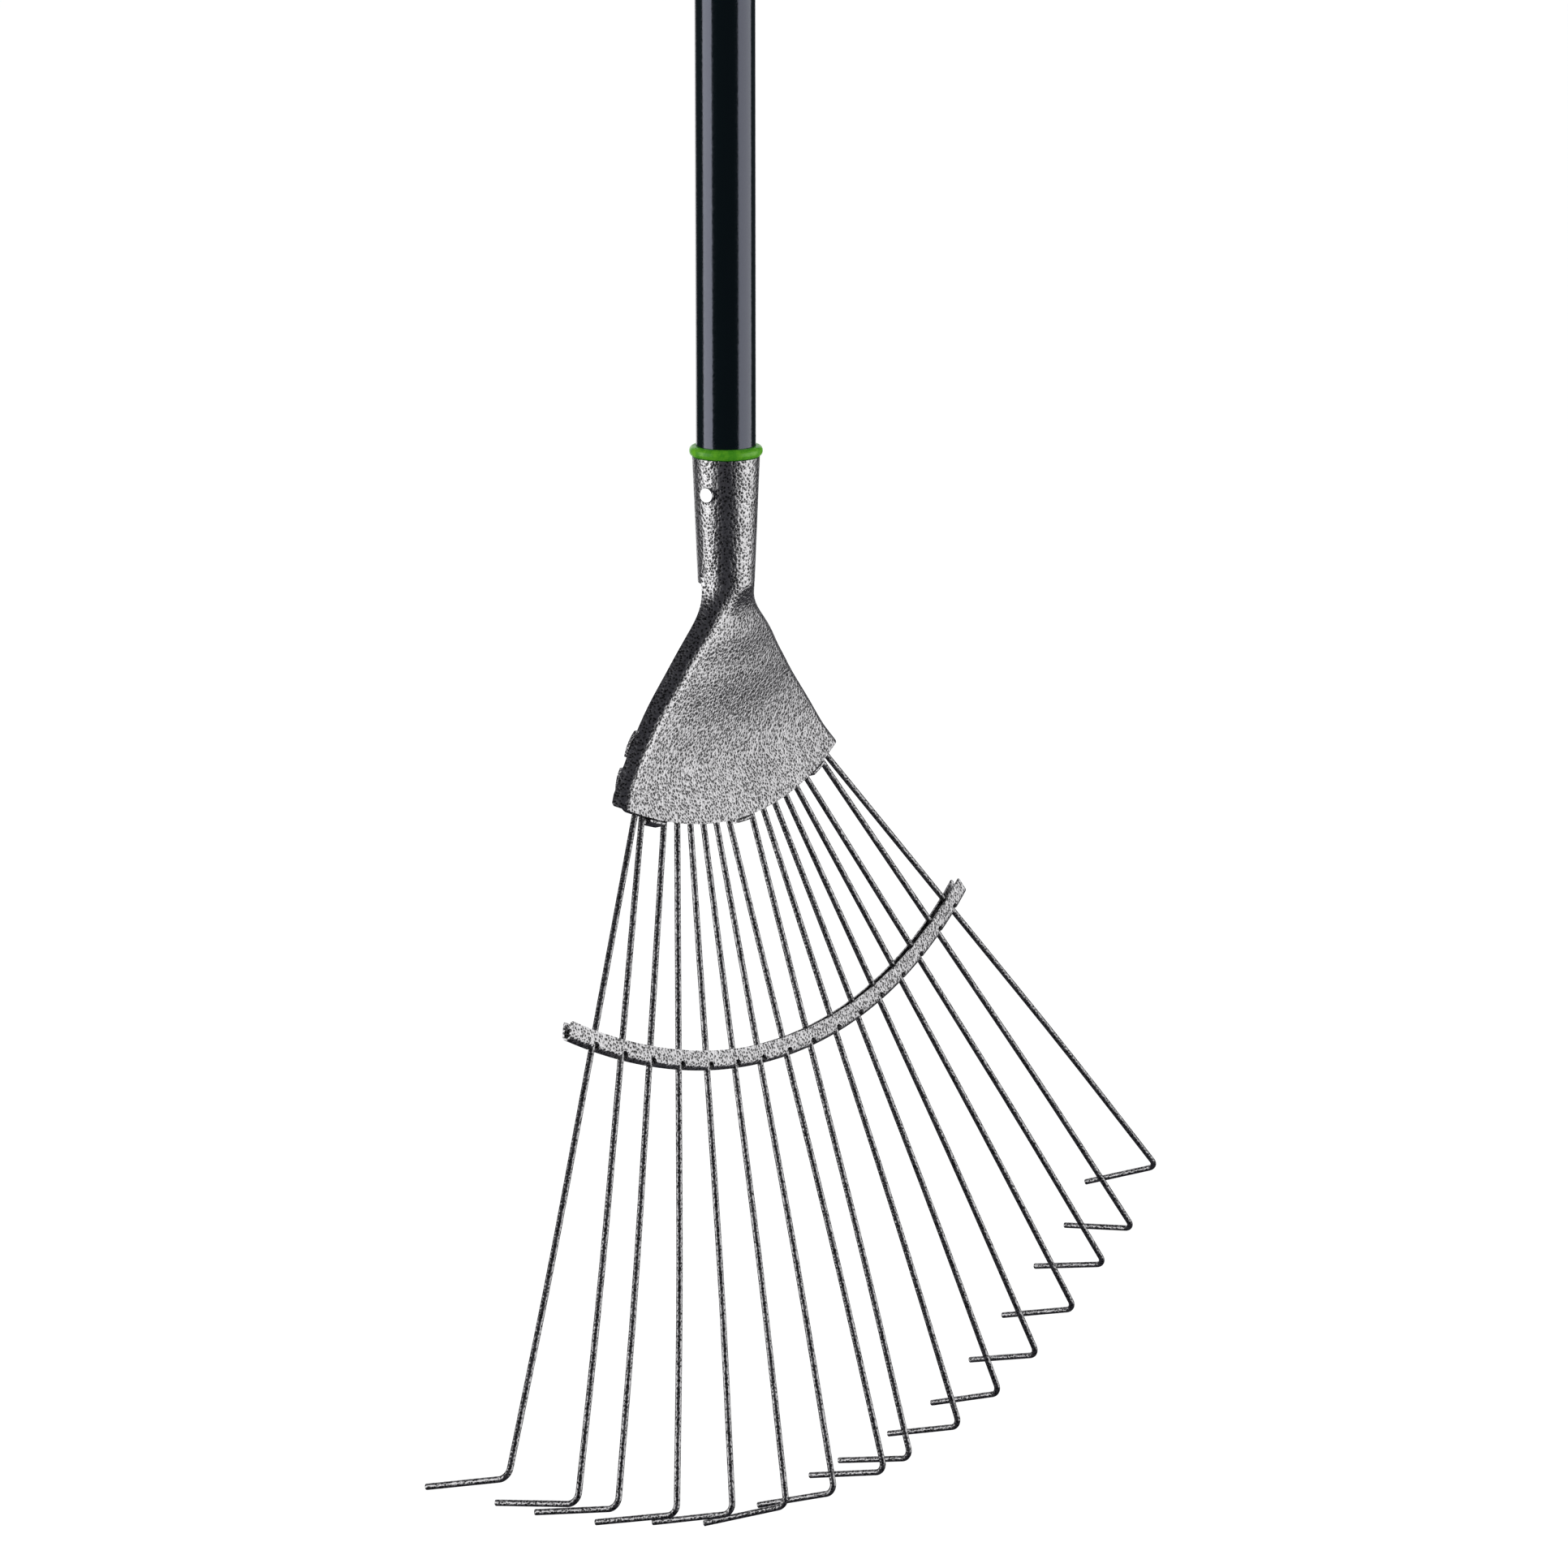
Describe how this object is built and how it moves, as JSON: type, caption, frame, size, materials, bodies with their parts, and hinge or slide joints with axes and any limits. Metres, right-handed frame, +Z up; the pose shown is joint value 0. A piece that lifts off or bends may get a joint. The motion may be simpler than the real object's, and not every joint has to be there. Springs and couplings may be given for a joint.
{
  "type": "leaf rake",
  "caption": "Wire-tine leaf rake: pressed fan head in hammered paint, hooked spring tines through an arched crossbar, green collar and long coated tube handle.",
  "frame": {"origin": "centre of the hang hole at the top of the handle, on the handle's axis", "axes": "+Z up the handle, -Y towards the smooth front of the head, so the tine tips point to +Y, and +X across the fan"},
  "size_m": [0.5023, 0.1031, 1.62],
  "materials": {
    "handle_coating": "glossy, faint orange peel",
    "bare_steel": "plain drawn tube",
    "cap_plastic": "satin moulded",
    "green_plastic": "satin moulded",
    "rivet_steel": "bright",
    "hammered_paint": "hammered silver and black",
    "hammered_wire": "hammered silver and black"
  },
  "bodies": {
    "root": {"handle_tube": "bare_steel", "handle_sleeve": "handle_coating", "end_cap": "cap_plastic", "collar_ring": "green_plastic", "socket_rivet": "rivet_steel", "head_plate": "hammered_paint", "back_plate": "hammered_paint", "crossbar": "hammered_paint", "tine_01": "hammered_wire", "tine_02": "hammered_wire", "tine_03": "hammered_wire", "tine_04": "hammered_wire", "tine_05": "hammered_wire", "tine_06": "hammered_wire", "tine_07": "hammered_wire", "tine_08": "hammered_wire", "tine_09": "hammered_wire", "tine_10": "hammered_wire", "tine_11": "hammered_wire", "tine_12": "hammered_wire", "tine_13": "hammered_wire", "tine_14": "hammered_wire", "tine_15": "hammered_wire", "tine_16": "hammered_wire"}
  },
  "joints": []
}
